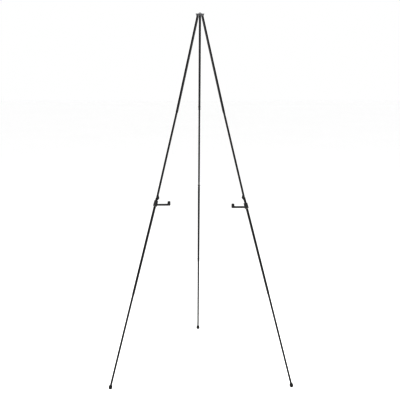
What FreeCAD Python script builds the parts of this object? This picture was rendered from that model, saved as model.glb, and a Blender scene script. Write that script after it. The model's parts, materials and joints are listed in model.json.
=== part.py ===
import FreeCAD, Part
import math
import os

V = FreeCAD.Vector

# Folding tripod display easel, modelled standing open. Millimetres and degrees.
# Three legs hang from a round head. Each leg is four pressed steel channels in a
# zigzag: the first and third are wide, the second and fourth are narrower and fold
# into them. The two front legs carry a sliding, swivelling holder each.
# +Z is up, the front of the easel faces -Y, and the origin is the middle of the
# footprint on the floor.

# Leg channels
WALL = 0.5               # strip thickness
BEND = 0.5               # inside bend radius of the strip
WIDE = 8.4               # outside width of the first and third channels
WIDE_DEPTH = 6.4         # outside depth of the first and third channels
NEST_GAP = 0.15          # each side, between a narrow channel and the wide one round it
TIP_GAP = 0.35           # from a folded narrow channel's edges to the wide one's web
FIRST_LENGTH = 406.0     # first channel, head pivot to upper joint
THIRD_LENGTH = 418.75    # third channel, middle joint to lower joint
STOP_LIP = 14.0          # how far a wide channel runs on below its joint, as the stop
END_GAP = 0.5            # between the ends that meet at the middle joint

# Splay of each channel from the vertical: a little play in every joint bows the leg
SPLAY = (14.6, 15.4, 16.38, 16.38)

# Joint rivets and the ears at the middle joint
RIVET_RADIUS = 1.5
RIVET_LIP = 1.0          # a rivet's head is this much wider all round than its shank
RIVET_HEAD_HEIGHT = 0.8
PIN_GAP = 0.05           # radial running clearance of a rivet in the piece that turns
EAR_RIM = 1.2            # from the rivet to the ear's rounded end
EAR_GAP = 0.6            # from the ears' rounded ends to the webs
EAR_ROOT = 13.0          # how far along the channel an ear's flank starts

# Head
HINGE_CIRCLE = 10.4      # radius from the axis to the three leg pivots
HEAD_RIM = 8.6           # from that circle to the plate's rim
HEAD_PLATE = 1.4
HEAD_EDGE = 0.9          # rounding of the plate's rim
BRACKET_PLATE = 1.2
BRACKET_INSET = 0.8      # the bracket's disc is this much smaller than the plate
BRACKET_SIDE_GAP = 0.25  # between a bracket ear and the channel beside it
BRACKET_EAR = 4.6        # rounding at the foot of a bracket ear, about the pin
HEAD_LIFT = 0.6          # from a channel's rounded top to the bracket's underside
STOP_RISE = 2.0          # the first channel's web reaches this far above its pin
STOP_GAP = 0.15          # between that web and the bracket's stop
STOP_DROP = 2.0          # the stop reaches this far below the pin
DOME_RADIUS = 7.5
DOME_HEIGHT = 4.6
CENTRE_SHANK = 3.2
CENTRE_UPSET_RADIUS = 4.8
CENTRE_UPSET = 1.6

# Feet
FOOT_RADIUS = 7.2
FOOT_HEIGHT = 15.4
FOOT_POCKET = 10.0       # how far the leg goes into the foot
FOOT_EDGE = 5.5          # rounding of the foot's lower edge
FOOT_RIM = 2.2           # rounding of its upper edge
FOOT_FACET = 0.6         # worn flat where it stands
FOOT_CLEAR = 1.8         # from a folded foot to the middle joint's ears and to the head

# Holders
SLIDE_GAP = 0.1          # each side, between the bush and the third channel
BUSH_RADIUS = 7.25       # the bearing that the arm turns on
RING_WALL = 0.95         # the arm's ring; the flanges and the retaining ring match it
TURN_GAP = 0.06          # radial clearance of the arm's ring on the bush
END_PLAY = 0.15          # each end of the arm's ring
NECK_STEP = 0.45         # the neck above the bearing is this much larger all round
FLANGE = 2.6             # height of each flange of the bush
NECK = 3.8               # height of the neck between its flanges
RING = 13.0              # height of the arm's ring
RETAINER = 2.0           # height of the retaining ring
GROOVE = 0.35            # how deep the retaining ring sits in the bush
SPRING_THICK = 0.45
SPRING_WIDE = 6.0
SPRING_TALL = 16.0
SPRING_GAP = 0.05        # round the spring in its pocket
HOLDER_BELOW = {"left": 0.85, "right": 12.85}  # from the ears' flanks to the bush
ARM_REACH = 64.5         # leg centre to the end of the hook
ARM_SIZE = 7.0           # height and thickness of the arm
ARM_LOWER = 0.9          # the arm lies this far below the middle of its ring
ARM_FORWARD = 5.0        # the arm is this far in front of the leg's centre
ARM_EDGE = 1.2           # rounding along the arm
LEDGE_RISE = 0.5         # the raised ledge along the arm's top
LEDGE_START = 14.0       # leg centre to the near end of the ledge
HOOK_WIDE = 11.6
HOOK_FILLET = 3.2        # where the hook meets the arm
CAP_WALL = 0.9           # soft cap over the hook
CAP_TALL = 8.0
CAP_EDGE = 1.4

LEGS = {"left": 210.0, "right": 330.0, "rear": 90.0}
HOLDER_SIDE = {"left": 1, "right": -1}        # the way each arm points along X

# Fits that follow from the sizes above
NARROW = WIDE - 2 * WALL - 2 * NEST_GAP
PIVOT = (WIDE_DEPTH - WALL) / 2               # joint height above a wide web
NARROW_BACK = PIVOT - NEST_GAP                # joint height above a narrow web's back
NARROW_DEPTH = 2 * PIVOT - NEST_GAP - TIP_GAP
NARROW_TIP = NARROW_DEPTH - NARROW_BACK
RIVET_HEAD_RADIUS = RIVET_RADIUS + RIVET_LIP
EAR_RADIUS = RIVET_RADIUS + EAR_RIM
EAR_OFFSET = EAR_RADIUS + EAR_GAP             # middle joint, below the webs' backs
HEAD_RADIUS = HINGE_CIRCLE + HEAD_RIM
HEAD_UNDERSIDE = PIVOT + HEAD_LIFT            # bracket underside, above the pins
FOOT_STEP = FOOT_HEIGHT + EAR_RADIUS + FOOT_CLEAR
SECOND_LENGTH = FIRST_LENGTH - FOOT_STEP + HEAD_UNDERSIDE - FOOT_CLEAR
FOURTH_LENGTH = THIRD_LENGTH + FOOT_STEP
MIDDLE_STEP = -NARROW_BACK - EAR_OFFSET       # middle joint, out from the upper joint
LOWER_STEP = EAR_OFFSET + WALL + PIVOT        # lower joint, out from the middle joint
THIRD_CENTRE = EAR_OFFSET + WIDE_DEPTH / 2
FOURTH_CENTRE = NARROW_DEPTH / 2 - NARROW_BACK
COLLAR_RADIUS = BUSH_RADIUS + RING_WALL
NECK_RADIUS = BUSH_RADIUS + NECK_STEP
BUSH_TALL = 2 * FLANGE + NECK + RING + 2 * END_PLAY + RETAINER
HOLDER_DROP = {side: EAR_ROOT + below + BUSH_TALL / 2 for side, below in HOLDER_BELOW.items()}
BORE = WIDE + 2 * SLIDE_GAP
BORE_DEPTH = WIDE_DEPTH + 2 * SLIDE_GAP
HOOK_TALL = ARM_SIZE + HOOK_FILLET + CAP_TALL # from the arm's underside to the tip
FAR = 60.0                                    # longer than any cut across a leg


def step(splay, along, out):
    """Radius and height gained by going along a channel and out from it."""
    lean = math.radians(splay)
    gain = along * math.sin(lean) + out * math.cos(lean)
    rise = out * math.sin(lean) - along * math.cos(lean)
    return gain, rise


def leg_chain():
    """Radius and height of the four pivots of a leg, with the foot on the floor."""
    runs = [(FIRST_LENGTH, 0.0), (SECOND_LENGTH, MIDDLE_STEP), (THIRD_LENGTH, LOWER_STEP)]
    pivots = [(HINGE_CIRCLE, 0.0)]
    for splay, (along, out) in zip(SPLAY, runs):
        gain, rise = step(splay, along, out)
        pivots.append((pivots[-1][0] + gain, pivots[-1][1] + rise))
    heel = FOURTH_CENTRE - (FOOT_RADIUS - FOOT_EDGE)
    drop = step(SPLAY[3], FOURTH_LENGTH - FOOT_EDGE, heel)[1] - FOOT_EDGE
    head_height = -FOOT_FACET - pivots[-1][1] - drop
    return [(radius, height + head_height) for radius, height in pivots]


CHAIN = leg_chain()
HEAD_HEIGHT = CHAIN[0][1]


def compass(azimuth):
    return V(math.cos(math.radians(azimuth)), math.sin(math.radians(azimuth)), 0)


def down_leg(azimuth, splay):
    """Unit vector down a channel."""
    gain, rise = step(splay, 1.0, 0.0)
    return compass(azimuth) * gain + V(0, 0, rise)


def out_of_leg(azimuth, splay):
    """Unit vector square to a channel, outwards."""
    gain, rise = step(splay, 0.0, 1.0)
    return compass(azimuth) * gain + V(0, 0, rise)


def pivot_point(azimuth, index):
    radius, height = CHAIN[index]
    return compass(azimuth) * radius + V(0, 0, height)


def placed(shape, azimuth, index, splay=None):
    """Put a shape made about a pivot (X across, Y out, Z up the channel) on its leg."""
    lean = SPLAY[index] if splay is None else splay
    turn = FreeCAD.Rotation(V(0, 0, 1), azimuth - 90)
    turn = turn.multiply(FreeCAD.Rotation(V(1, 0, 0), lean))
    place = FreeCAD.Placement(pivot_point(azimuth, index), turn)
    moved = shape.copy()
    moved.Placement = place.multiply(shape.Placement)
    return moved


def block(x0, x1, y0, y1, z0, z1):
    return Part.makeBox(x1 - x0, y1 - y0, z1 - z0, V(x0, y0, z0))


def bend_arc(x, y, radius, start):
    """A quarter arc about (x, y), from the angle start."""
    points = []
    for angle in (start, start + 45, start + 90):
        turn = math.radians(angle)
        points.append(V(x + radius * math.cos(turn), y + radius * math.sin(turn), 0))
    return Part.Arc(*points).toShape()


def channel(width, depth, back, top, bottom):
    """A strip bent to a U that opens outwards, its web's back at Y = back."""
    half = width / 2
    outer = BEND + WALL
    inner = half - WALL
    tip = back + depth
    corner = back + outer
    edges = [
        Part.makeLine(V(-half, tip, 0), V(-half, corner, 0)),
        bend_arc(-half + outer, corner, outer, 180),
        Part.makeLine(V(-half + outer, back, 0), V(half - outer, back, 0)),
        bend_arc(half - outer, corner, outer, 270),
        Part.makeLine(V(half, corner, 0), V(half, tip, 0)),
        Part.makeLine(V(half, tip, 0), V(inner, tip, 0)),
        Part.makeLine(V(inner, tip, 0), V(inner, corner, 0)),
        bend_arc(half - outer, corner, BEND, 270),
        Part.makeLine(V(half - outer, back + WALL, 0), V(-half + outer, back + WALL, 0)),
        bend_arc(-half + outer, corner, BEND, 180),
        Part.makeLine(V(-inner, corner, 0), V(-inner, tip, 0)),
        Part.makeLine(V(-inner, tip, 0), V(-half, tip, 0)),
    ]
    face = Part.Face(Part.Wire(Part.__sortEdges__(edges)))
    face.translate(V(0, 0, bottom))
    return face.extrude(V(0, 0, top - bottom))


def disc(x, thick, radius, y, z):
    """A round plate square to X."""
    return Part.makeCylinder(radius, thick, V(x, y, z), V(1, 0, 0))


def wall_pair(width, make):
    """The two side walls of a channel, each made by make(x, thickness)."""
    return [make(-width / 2, WALL), make(width / 2 - WALL, WALL)]


def circles(body):
    """The round edges of an upright body, lowest first."""
    found = [edge for edge in body.Edges if isinstance(edge.Curve, Part.Circle)]
    return sorted(found, key=lambda edge: edge.BoundBox.ZMin)


def rivet_hole(radius, y, z):
    return Part.makeCylinder(radius, FAR, V(-FAR / 2, y, z), V(1, 0, 0))


def tangent_touch(y, z, radius):
    """Where the line from (y, z) touches a circle about the origin, on its far side."""
    far = math.hypot(y, z)
    swing = math.acos(radius / far)
    base = math.atan2(z, y)
    turn = base + swing if z > 0 else base - swing
    return radius * math.cos(turn), radius * math.sin(turn)


def middle_ear(width, side):
    """Ears about the middle joint; side is 1 where the channel lies above it."""
    root = EAR_OFFSET + BEND + WALL
    face = side * END_GAP / 2
    flank = side * EAR_ROOT
    touch_y, touch_z = tangent_touch(root, flank, EAR_RADIUS)
    outline = [(root, flank), (root, face), (0.0, face), (0.0, 0.0), (touch_y, touch_z)]

    def plate(x, thick):
        corners = [V(x, y, z) for y, z in outline]
        flat = Part.Face(Part.makePolygon(corners + corners[:1]))
        return flat.extrude(V(thick, 0, 0)).fuse(disc(x, thick, EAR_RADIUS, 0, 0))

    return wall_pair(width, plate)


def first_channel():
    """Hangs from the head; its web reaches above the pin to meet the head's stop."""
    body = channel(WIDE, WIDE_DEPTH, -PIVOT - WALL, STOP_RISE, -FIRST_LENGTH - STOP_LIP)
    body = body.fuse(wall_pair(WIDE, lambda x, t: disc(x, t, PIVOT, 0, 0)))
    body = body.cut(rivet_hole(RIVET_RADIUS + PIN_GAP, 0, 0))
    return body.cut(rivet_hole(RIVET_RADIUS, 0, -FIRST_LENGTH)).removeSplitter()


def second_channel():
    """Turns inside the first channel, and carries the inner ears of the middle joint."""
    body = channel(NARROW, NARROW_DEPTH, -NARROW_BACK, 0, -SECOND_LENGTH + END_GAP / 2)
    body = body.fuse(wall_pair(NARROW, lambda x, t: disc(x, t, NARROW_TIP, 0, 0)))
    ears = middle_ear(NARROW, 1)
    for ear in ears:
        ear.translate(V(0, MIDDLE_STEP, -SECOND_LENGTH))
    body = body.fuse(ears)
    body = body.cut(rivet_hole(RIVET_RADIUS + PIN_GAP, 0, 0))
    hole = rivet_hole(RIVET_RADIUS + PIN_GAP, MIDDLE_STEP, -SECOND_LENGTH)
    return body.cut(hole).removeSplitter()


def third_channel():
    """Folds back to back with the second channel, and carries a holder in front."""
    bottom = -THIRD_LENGTH - STOP_LIP
    body = channel(WIDE, WIDE_DEPTH, EAR_OFFSET, -END_GAP / 2, bottom)
    body = body.fuse(middle_ear(WIDE, -1))
    body = body.cut(rivet_hole(RIVET_RADIUS, 0, 0))
    return body.cut(rivet_hole(RIVET_RADIUS, LOWER_STEP, -THIRD_LENGTH)).removeSplitter()


def fourth_channel():
    """Turns inside the third channel and ends in the foot."""
    bottom = -FOURTH_LENGTH + FOOT_HEIGHT - FOOT_POCKET
    body = channel(NARROW, NARROW_DEPTH, -NARROW_BACK, 0, bottom)
    body = body.fuse(wall_pair(NARROW, lambda x, t: disc(x, t, NARROW_TIP, 0, 0)))
    return body.cut(rivet_hole(RIVET_RADIUS + PIN_GAP, 0, 0)).removeSplitter()


def dome(radius, height, at, way):
    """A shallow domed head standing on the plane through at, along way."""
    ball = (radius ** 2 + height ** 2) / (2 * height)
    sphere = Part.makeSphere(ball, at + way * (height - ball))
    return sphere.common(Part.makeCylinder(ball, ball, at, way))


def rivet(grip):
    """A cross rivet with a domed head at each end of its grip."""
    body = Part.makeCylinder(RIVET_RADIUS, grip, V(-grip / 2, 0, 0), V(1, 0, 0))
    for way in (-1, 1):
        end = V(way * grip / 2, 0, 0)
        head = dome(RIVET_HEAD_RADIUS, RIVET_HEAD_HEIGHT, end, V(way, 0, 0))
        body = body.fuse(head)
    return body.removeSplitter()


def foot():
    """A moulded rubber foot, rounded below, with a pocket for the leg's end."""
    body = Part.makeCylinder(FOOT_RADIUS, FOOT_HEIGHT, V(0, FOURTH_CENTRE, -FOURTH_LENGTH))
    body = body.makeFillet(FOOT_EDGE, circles(body)[:1])
    body = body.makeFillet(FOOT_RIM, circles(body)[-1:])
    half = NARROW / 2
    low = -FOURTH_LENGTH + FOOT_HEIGHT - FOOT_POCKET
    return body.cut(block(-half, half, -NARROW_BACK, NARROW_TIP, low, low + FAR))


def trimmed_foot(azimuth):
    """The foot in place, with the flat that it stands on."""
    body = placed(foot(), azimuth, 3)
    centre = body.BoundBox.Center
    below = block(centre.x - FAR, centre.x + FAR, centre.y - FAR, centre.y + FAR, -FAR, 0)
    return body.cut(below)


def head_plate():
    """The round cover plate, with a rounded rim."""
    low = HEAD_HEIGHT + HEAD_UNDERSIDE + BRACKET_PLATE
    body = Part.makeCylinder(HEAD_RADIUS, HEAD_PLATE, V(0, 0, low))
    body = body.makeFillet(HEAD_EDGE, circles(body)[-1:])
    return body.cut(Part.makeCylinder(CENTRE_SHANK, HEAD_PLATE, V(0, 0, low)))


def clevis():
    """One hinge bracket's two ears and its stop, about the pin, below the disc."""
    inner = WIDE / 2 + BRACKET_SIDE_GAP
    outer = inner + BRACKET_PLATE
    top = HEAD_UNDERSIDE + BRACKET_PLATE / 2
    pieces = []
    for low in (-outer, inner):
        pieces.append(disc(low, BRACKET_PLATE, BRACKET_EAR, 0, 0))
        pieces.append(block(low, low + BRACKET_PLATE, -BRACKET_EAR, BRACKET_EAR, 0, top))
    gain, _ = step(SPLAY[0], STOP_RISE, PIVOT + WALL)
    stop = -gain - STOP_GAP
    link = block(-outer, outer, stop - BRACKET_PLATE, stop, -STOP_DROP, top)
    for low in (-outer, inner):
        pieces.append(block(low, low + BRACKET_PLATE, stop, 0, -STOP_DROP, top))
    body = link.fuse(pieces)
    return body.cut(rivet_hole(RIVET_RADIUS, 0, 0))


def hinge_bracket():
    """The pressed bracket under the plate: a disc with three clevises bent down."""
    low = HEAD_HEIGHT + HEAD_UNDERSIDE
    body = Part.makeCylinder(HEAD_RADIUS - BRACKET_INSET, BRACKET_PLATE, V(0, 0, low))
    for azimuth in LEGS.values():
        body = body.fuse(placed(clevis(), azimuth, 0, 0.0))
    shank = Part.makeCylinder(CENTRE_SHANK, BRACKET_PLATE, V(0, 0, low))
    return body.cut(shank).removeSplitter()


def centre_rivet():
    """The domed rivet that holds the plate and the bracket together."""
    low = HEAD_HEIGHT + HEAD_UNDERSIDE
    thick = BRACKET_PLATE + HEAD_PLATE
    body = Part.makeCylinder(CENTRE_SHANK, thick, V(0, 0, low))
    upset = Part.makeCylinder(CENTRE_UPSET_RADIUS, CENTRE_UPSET, V(0, 0, low - CENTRE_UPSET))
    cap = dome(DOME_RADIUS, DOME_HEIGHT, V(0, 0, low + thick), V(0, 0, 1))
    return body.fuse([upset, cap]).removeSplitter()


def tube(radius, low, high):
    return Part.makeCylinder(radius, high - low, V(0, 0, low))


def holder_heights():
    """Heights in a holder about its middle: bush foot, groove, ring foot, ring top."""
    foot_z = -BUSH_TALL / 2
    groove_top = foot_z + RETAINER
    ring_low = groove_top + END_PLAY
    return foot_z, groove_top, ring_low, ring_low + RING


def holder_bush():
    """The nylon bush: a square bore that slides on the leg, a round bearing outside."""
    foot_z, groove_top, _, ring_top = holder_heights()
    flange_low = ring_top + END_PLAY
    body = tube(BUSH_RADIUS - GROOVE, foot_z, groove_top)
    body = body.fuse(tube(BUSH_RADIUS, groove_top, flange_low))
    body = body.fuse(tube(COLLAR_RADIUS, flange_low, flange_low + FLANGE))
    body = body.fuse(tube(NECK_RADIUS, flange_low + FLANGE, flange_low + FLANGE + NECK))
    body = body.fuse(tube(COLLAR_RADIUS, flange_low + FLANGE + NECK, BUSH_TALL / 2))
    half = BORE / 2
    back = -BORE_DEPTH / 2
    body = body.cut(block(-half, half, back, -back, -BUSH_TALL, BUSH_TALL))
    wide = SPRING_WIDE / 2 + SPRING_GAP
    tall = SPRING_TALL / 2 + SPRING_GAP
    deep = SPRING_THICK + 2 * SPRING_GAP
    return body.cut(block(-wide, wide, back - deep, 0, -tall, tall)).removeSplitter()


def holder_retainer():
    """The snap ring that keeps the arm on the bush."""
    foot_z, groove_top, _, _ = holder_heights()
    return tube(COLLAR_RADIUS, foot_z, groove_top).cut(
        tube(BUSH_RADIUS - GROOVE, foot_z, groove_top))


def holder_spring():
    """The leaf spring that presses on the channel's web and holds the height."""
    back = -BORE_DEPTH / 2 - SPRING_GAP
    wide = SPRING_WIDE / 2
    tall = SPRING_TALL / 2
    return block(-wide, wide, back - SPRING_THICK, back, -tall, tall)


def on_third(shape, side):
    """Put a shape made about the middle of a holder on its leg."""
    moved = shape.copy()
    moved.translate(V(0, THIRD_CENTRE, -HOLDER_DROP[side]))
    return placed(moved, LEGS[side], 2)


def holder_centre(side):
    """The middle of a holder, in the easel's frame."""
    azimuth = LEGS[side]
    point = pivot_point(azimuth, 2)
    point = point + down_leg(azimuth, SPLAY[2]) * HOLDER_DROP[side]
    return point + out_of_leg(azimuth, SPLAY[2]) * THIRD_CENTRE


def arm_level(side):
    """Height of the arm's middle line."""
    _, _, ring_low, ring_top = holder_heights()
    middle = (ring_low + ring_top) / 2 - ARM_LOWER
    return holder_centre(side) - down_leg(LEGS[side], SPLAY[2]) * middle


def rounded_bar(x0, x1, y0, y1, z0, z1, edge):
    """A block with its long edges rounded, along X."""
    body = block(x0, x1, y0, y1, z0, z1)
    along = [e for e in body.Edges if e.BoundBox.XLength > (x1 - x0) / 2]
    return body.makeFillet(edge, along)


def hook_core():
    """The upright part of the hook that the soft cap goes over."""
    half = ARM_SIZE / 2 - CAP_WALL
    low = -ARM_SIZE / 2
    x0 = ARM_REACH - HOOK_WIDE + CAP_WALL
    return block(x0, ARM_REACH - CAP_WALL, -half, half, low, low + HOOK_TALL - CAP_WALL)


def hook_root():
    """The corner of the hook below its cap, filleted into the arm."""
    half = ARM_SIZE / 2
    inner = ARM_REACH - HOOK_WIDE
    shoulder = half + HOOK_FILLET
    body = block(inner, ARM_REACH, -half, half, -half, shoulder)
    end = [e for e in body.Edges if e.BoundBox.XMin > inner and e.BoundBox.ZLength > half]
    body = body.makeFillet(ARM_EDGE, end)
    corner = block(inner - HOOK_FILLET, inner, -half, half, half, shoulder)
    hollow = V(inner - HOOK_FILLET, -half, shoulder)
    corner = corner.cut(Part.makeCylinder(HOOK_FILLET, ARM_SIZE, hollow, V(0, 1, 0)))
    return body.fuse(corner)


def mirrored_for(side, shape):
    """Arms are made pointing along +X and mirrored for the right-hand holder."""
    return shape if HOLDER_SIDE[side] > 0 else shape.mirror(V(0, 0, 0), V(1, 0, 0))


def holder_arm(side):
    """The moulded arm: a ring round the bush, a level bar and an upturned hook."""
    _, _, ring_low, ring_top = holder_heights()
    ring = on_third(tube(COLLAR_RADIUS, ring_low, ring_top), side)
    hole = on_third(tube(BUSH_RADIUS + TURN_GAP, -FAR, FAR), side)
    half = ARM_SIZE / 2
    top = half - LEDGE_RISE
    bar = rounded_bar(0, ARM_REACH - HOOK_WIDE / 2, -half, half, -half, top, ARM_EDGE)
    flat = half - ARM_EDGE
    ledge = block(LEDGE_START, ARM_REACH - HOOK_WIDE, -flat, flat, 0, half)
    body = bar.fuse([ledge, hook_root(), hook_core()])
    body = mirrored_for(side, body)
    body.translate(arm_level(side) - V(0, ARM_FORWARD, 0))
    return body.fuse(ring).cut(hole).removeSplitter()


def holder_tip(side):
    """The soft cap on the hook."""
    half = ARM_SIZE / 2
    low = -half + HOOK_TALL - CAP_TALL
    high = -half + HOOK_TALL
    body = block(ARM_REACH - HOOK_WIDE, ARM_REACH, -half, half, low, high)
    upper = [e for e in body.Edges if e.BoundBox.ZMax > (low + high) / 2]
    body = body.makeFillet(CAP_EDGE, upper).cut(hook_core())
    body = mirrored_for(side, body)
    body.translate(arm_level(side) - V(0, ARM_FORWARD, 0))
    return body


def leg_nodes(name, azimuth):
    """Every piece of one leg, by node name."""
    turning = {"upper_channel": (first_channel(), 0), "second_channel": (second_channel(), 1),
               "third_channel": (third_channel(), 2), "lower_channel": (fourth_channel(), 3)}
    nodes = {}
    for piece, (shape, index) in turning.items():
        nodes[name + "_" + piece] = placed(shape, azimuth, index)
    nodes[name + "_upper_rivet"] = placed(rivet(WIDE), azimuth, 1, SPLAY[0])
    nodes[name + "_middle_rivet"] = placed(rivet(WIDE), azimuth, 2)
    nodes[name + "_lower_rivet"] = placed(rivet(WIDE), azimuth, 3, SPLAY[2])
    nodes[name + "_foot"] = trimmed_foot(azimuth)
    return nodes


def head_nodes():
    """The head and its hinge rivets."""
    grip = WIDE + 2 * BRACKET_SIDE_GAP + 2 * BRACKET_PLATE
    rivets = [placed(rivet(grip), azimuth, 0, 0.0) for azimuth in LEGS.values()]
    return {"head_plate": head_plate(), "hinge_bracket": hinge_bracket(),
            "centre_rivet": centre_rivet(), "head_hinge_rivets": Part.makeCompound(rivets)}


def holder_nodes(side):
    """Every piece of one holder, by node name."""
    return {side + "_holder_bush": on_third(holder_bush(), side),
            side + "_holder_retainer": on_third(holder_retainer(), side),
            side + "_holder_spring": on_third(holder_spring(), side),
            side + "_holder_arm": holder_arm(side),
            side + "_holder_tip": holder_tip(side)}


def easel_nodes():
    nodes = head_nodes()
    for name, azimuth in LEGS.items():
        nodes.update(leg_nodes(name, azimuth))
    for side in HOLDER_SIDE:
        nodes.update(holder_nodes(side))
    return nodes


def footprint_shift(nodes):
    """How far to move the easel so that its box is centred on the origin."""
    feet = Part.makeCompound([nodes[name + "_foot"] for name in LEGS])
    box = feet.optimalBoundingBox(True, False)
    return V(-(box.XMin + box.XMax) / 2, -(box.YMin + box.YMax) / 2, 0)


NODES = easel_nodes()
SHIFT = footprint_shift(NODES)

os.makedirs("parts", exist_ok=True)
for node, solid in NODES.items():
    solid.translate(SHIFT)
    solid.exportStep("parts/" + node + ".step")
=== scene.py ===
import json
import math

import bmesh
import bpy
from mathutils import Matrix, Vector
from mathutils.geometry import delaunay_2d_cdt


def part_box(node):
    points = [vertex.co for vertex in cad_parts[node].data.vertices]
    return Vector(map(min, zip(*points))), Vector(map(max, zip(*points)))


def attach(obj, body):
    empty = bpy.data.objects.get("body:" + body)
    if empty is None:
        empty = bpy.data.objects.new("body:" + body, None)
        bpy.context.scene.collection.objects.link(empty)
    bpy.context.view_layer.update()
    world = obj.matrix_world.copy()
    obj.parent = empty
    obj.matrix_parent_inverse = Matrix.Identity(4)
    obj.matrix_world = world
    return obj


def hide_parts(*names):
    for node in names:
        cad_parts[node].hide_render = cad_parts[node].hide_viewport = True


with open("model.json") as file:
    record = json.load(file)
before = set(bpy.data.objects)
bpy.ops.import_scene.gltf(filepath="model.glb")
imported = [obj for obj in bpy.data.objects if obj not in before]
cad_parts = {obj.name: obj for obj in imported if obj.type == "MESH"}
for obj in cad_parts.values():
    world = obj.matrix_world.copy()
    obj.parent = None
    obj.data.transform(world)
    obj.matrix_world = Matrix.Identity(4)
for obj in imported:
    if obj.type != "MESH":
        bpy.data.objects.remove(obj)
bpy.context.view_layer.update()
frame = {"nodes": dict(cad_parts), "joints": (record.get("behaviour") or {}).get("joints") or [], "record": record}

# The studio: a wide pale floor under a white sky, a soft box over the easel's head, one
# at head height on each side and a long lens a little above the middle of the legs.
joints = {joint["name"]: joint for joint in frame["joints"]}
LEGS = ("left", "right", "rear")
HOLDERS = ("left", "right")
head_pins = [Vector(joints[leg + "_leg_splay"]["pos_m"]) for leg in LEGS]
stem = sum(head_pins, Vector()) / len(head_pins)       # the easel's upright axis

CAMERA_AWAY = 3.0
CAMERA_HEIGHT = 1.382
CAMERA_SIDE = math.radians(1.35)
CAMERA_TILT = math.radians(11.16)
CAMERA_LENS = 61.6
PRINT_GAMMA = 0.66       # a hard print, as for a catalogue: thin dark lines stay full

camera = bpy.data.objects.new("camera", bpy.data.cameras.new("camera"))
bpy.context.scene.collection.objects.link(camera)
camera.data.lens = CAMERA_LENS
camera.data.sensor_width = 36.0
camera.data.clip_end = 60.0
camera.location = (stem.x - CAMERA_AWAY * math.sin(CAMERA_SIDE),
                   stem.y - CAMERA_AWAY * math.cos(CAMERA_SIDE), CAMERA_HEIGHT)
camera.rotation_euler = (math.radians(90) - CAMERA_TILT, 0.0, -CAMERA_SIDE)
bpy.context.scene.camera = camera
bpy.context.scene.view_settings.view_transform = "Standard"
bpy.context.scene.view_settings.gamma = PRINT_GAMMA


def node_tree(name):
    """A new material, with its nodes, its shader and a short way to add and join nodes."""
    material = bpy.data.materials.new(name)
    material.use_nodes = True
    tree = material.node_tree
    shader = tree.nodes["Principled BSDF"]

    def add(kind, **settings):
        node = tree.nodes.new(kind)
        for key, value in settings.items():
            if key in node.inputs:
                node.inputs[key].default_value = value
            else:
                setattr(node, key, value)
        return node

    return material, tree, shader, add


def pale_floor():
    """A matt painted studio floor, a little uneven in tone."""
    material, tree, shader, add = node_tree("floor_paint")
    cloud = add("ShaderNodeTexNoise", Scale=0.7, Detail=2.0)
    tone = add("ShaderNodeValToRGB")
    tone.color_ramp.elements[0].color = (0.985, 0.985, 0.985, 1)
    tone.color_ramp.elements[1].color = (1.0, 1.0, 1.0, 1)
    place = add("ShaderNodeTexCoord")
    tree.links.new(place.outputs["Object"], cloud.inputs["Vector"])
    tree.links.new(cloud.outputs["Fac"], tone.inputs["Fac"])
    tree.links.new(tone.outputs["Color"], shader.inputs["Base Color"])
    shader.inputs["Roughness"].default_value = 0.9
    shader.inputs["Specular IOR Level"].default_value = 0.1
    return material


FLOOR_REACH = 24.0
floor_mesh = bpy.data.meshes.new("floor")
floor_mesh.from_pydata([(x * FLOOR_REACH, y * FLOOR_REACH, 0) for x, y in
                        ((-1, -1), (1, -1), (1, 1), (-1, 1))], [], [(0, 1, 2, 3)])
floor = bpy.data.objects.new("floor", floor_mesh)
bpy.context.scene.collection.objects.link(floor)
floor.data.materials.append(pale_floor())

world = bpy.data.worlds.new("sky")
world.use_nodes = True
world.node_tree.nodes["Background"].inputs["Color"].default_value = (1.0, 1.0, 1.0, 1)
world.node_tree.nodes["Background"].inputs["Strength"].default_value = 1.0
bpy.context.scene.world = world


def soft_box(name, at, aim, size, power):
    """A square studio light at one point, aimed at another."""
    light = bpy.data.lights.new(name, "AREA")
    light.size = size
    light.energy = power
    holder = bpy.data.objects.new(name, light)
    bpy.context.scene.collection.objects.link(holder)
    holder.location = at
    holder.rotation_euler = (Vector(aim) - Vector(at)).to_track_quat("-Z", "Y").to_euler()


soft_box("over_head", (0.3, -1.0, 2.4), (0.0, stem.y, 1.45), 1.0, 20.0)
soft_box("left_panel", (-1.9, stem.y - 1.2, 1.9), (0.0, stem.y, 1.45), 1.0, 30.0)
soft_box("right_panel", (1.9, stem.y - 1.2, 1.9), (0.0, stem.y, 1.45), 1.0, 26.0)

# Leg channels: each is one long strip of cold-rolled steel, blanked, pierced for its
# rivets and bent to a U. Its cut edges are tumbled round before it is powder-coated
# satin black; the coat pulls thin along edges and is rubbed where pieces slide.
MM = 0.001
STRIP = 0.5              # strip thickness
BEND_OUTSIDE = 1.0       # outside radius of the bends
CUT_EDGE = 0.11          # tumbled rounding of a cut edge
EAR_OFFSET = 3.3         # the middle pin lies this far behind the webs' backs
EAR_RADIUS = 2.7
EAR_ROOT = 13.0
END_GAP = 0.5            # between the ends that meet at the middle joint
RIVET_HOLE = 1.55
HOLE_POINTS = 24
STOP_RISE = 2.0          # the first web reaches this far above its pin
CORNER = 2.4             # rounding of a wide channel's lower corners
SNIP = 1.0               # corner taken off a side's end at the middle joint
RELIEF = 0.2             # saw cut beside a web tongue between two ears


def lean_of(leg):
    """The angle of a leg's four channels from the upright, from its joints' limits."""
    fold = joints[leg + "_leg_fold"]["range_deg"][1]
    ratio = {c["joint"]: c["ratio"] for c in frame["record"]["behaviour"]["couplings"]}
    first = joints[leg + "_leg_splay"]["range_deg"][1]
    second = first + 180 - fold
    third = second + fold * ratio[leg + "_middle_fold"] - 180
    fourth = third + 180 - fold * ratio[leg + "_lower_fold"]
    return [math.radians(angle) for angle in (first, second, third, fourth)]


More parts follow.
